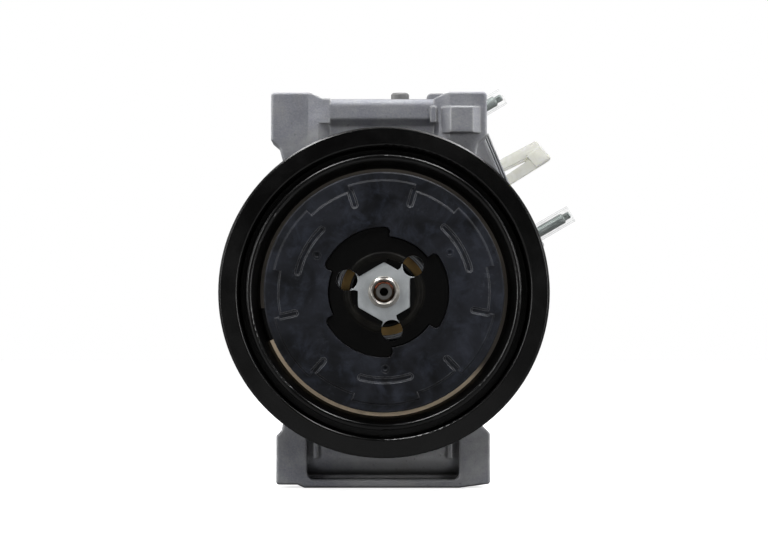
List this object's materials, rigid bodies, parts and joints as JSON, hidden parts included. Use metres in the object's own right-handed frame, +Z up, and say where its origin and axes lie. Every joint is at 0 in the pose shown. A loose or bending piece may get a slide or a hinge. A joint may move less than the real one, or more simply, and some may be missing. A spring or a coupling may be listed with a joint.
{
  "type": "air-conditioning compressor with electromagnetic clutch",
  "caption": "Vehicle air-conditioning compressor with swash-plate pistons, driven through a ribbed belt pulley and an electromagnetic clutch on its nose.",
  "frame": {"origin": "on the shaft axis, in the front face of the clutch hub's flange", "axes": "-Y along the shaft out of the clutch end, +X to the right seen from that end and along the mounting bores, +Z up"},
  "size_m": [0.1453, 0.1996, 0.1664],
  "materials": {
    "cast_aluminium": "as-cast, bead-blasted",
    "black_steel": "black electrocoat, semi-gloss",
    "dark_plate": "dark blue-grey coating, satin",
    "armature_steel": "ground",
    "friction_facing": "sintered, matte",
    "rubber": "moulded, satin",
    "bright_steel": "ground and polished",
    "zinc_steel": "zinc plated",
    "yellow_steel": "yellow passivated",
    "grey_steel": "machined",
    "copper": "enamelled copper wire",
    "moulded_resin": "glass-filled, matte",
    "gasket": "coated",
    "milky_plastic": "natural polyethylene",
    "clear_plastic": "clear tube",
    "valve_brass": "machined"
  },
  "bodies": {
    "housing": {"front_housing": "cast_aluminium", "cylinder_block": "cast_aluminium", "rear_housing": "cast_aluminium", "housing_seal": "gasket", "suction_reed": "grey_steel", "valve_plate": "grey_steel", "discharge_reeds": "grey_steel", "reed_stopper": "grey_steel", "centre_bolt": "zinc_steel", "head_gasket": "gasket", "through_bolts": "zinc_steel", "relief_valve": "zinc_steel", "shaft_seal": "rubber", "front_needle_bearing": "bright_steel", "rear_needle_bearing": "bright_steel", "thrust_bearing": "bright_steel", "bearing_inner_ring": "bright_steel", "rotor_snap_ring": "yellow_steel", "coil_shell": "zinc_steel", "coil_winding": "copper", "coil_potting": "moulded_resin", "coil_gland": "moulded_resin", "coil_snap_ring": "zinc_steel", "piston_1": "cast_aluminium", "piston_2": "cast_aluminium", "piston_3": "cast_aluminium", "piston_4": "cast_aluminium", "piston_5": "cast_aluminium", "piston_6": "cast_aluminium", "piston_7": "cast_aluminium", "piston_rings": "gasket", "piston_shoes": "bright_steel", "control_valve": "valve_brass", "valve_seals": "rubber", "valve_rod": "bright_steel", "valve_clip": "zinc_steel", "port_studs": "zinc_steel", "stud_sleeves": "clear_plastic", "port_plugs": "milky_plastic"},
    "rotor": {"rotor": "black_steel", "rotor_facing": "friction_facing", "pulley_rim": "black_steel", "bearing_outer_ring": "bright_steel", "bearing_seals": "rubber"},
    "ball_cage": {"bearing_cage": "moulded_resin", "bearing_balls": "bright_steel"},
    "shaft": {"drive_shaft": "bright_steel", "hub_flange": "bright_steel", "hub_rubber": "rubber", "hub_shim": "bright_steel", "shaft_nut": "zinc_steel", "lug_plate": "grey_steel", "link_pin": "bright_steel", "swash_plate": "grey_steel", "swash_sleeve": "bright_steel", "stroke_spring": "grey_steel", "spring_clip": "zinc_steel"},
    "armature": {"outer_plate": "dark_plate", "armature_disc": "armature_steel", "armature_rivets": "dark_plate"}
  },
  "joints": [
    {"name": "rotor_spin", "type": "hinge", "parent": "housing", "child": "rotor", "pos_m": [0, 0, 0], "axis": [0, 1, 0], "continuous": true},
    {"name": "cage_orbit", "type": "hinge", "parent": "housing", "child": "ball_cage", "pos_m": [0, 0, 0], "axis": [0, 1, 0], "continuous": true},
    {"name": "shaft_spin", "type": "hinge", "parent": "housing", "child": "shaft", "pos_m": [0, 0, 0], "axis": [0, 1, 0], "continuous": true},
    {"name": "armature_pull", "type": "slide", "parent": "shaft", "child": "armature", "axis": [0, 1, 0], "range_m": [0, 0.0004], "stiffness_N_per_m": 20000}
  ],
  "couplings": [
    {"joint": "cage_orbit", "follows": "rotor_spin", "ratio": 0.575}
  ]
}
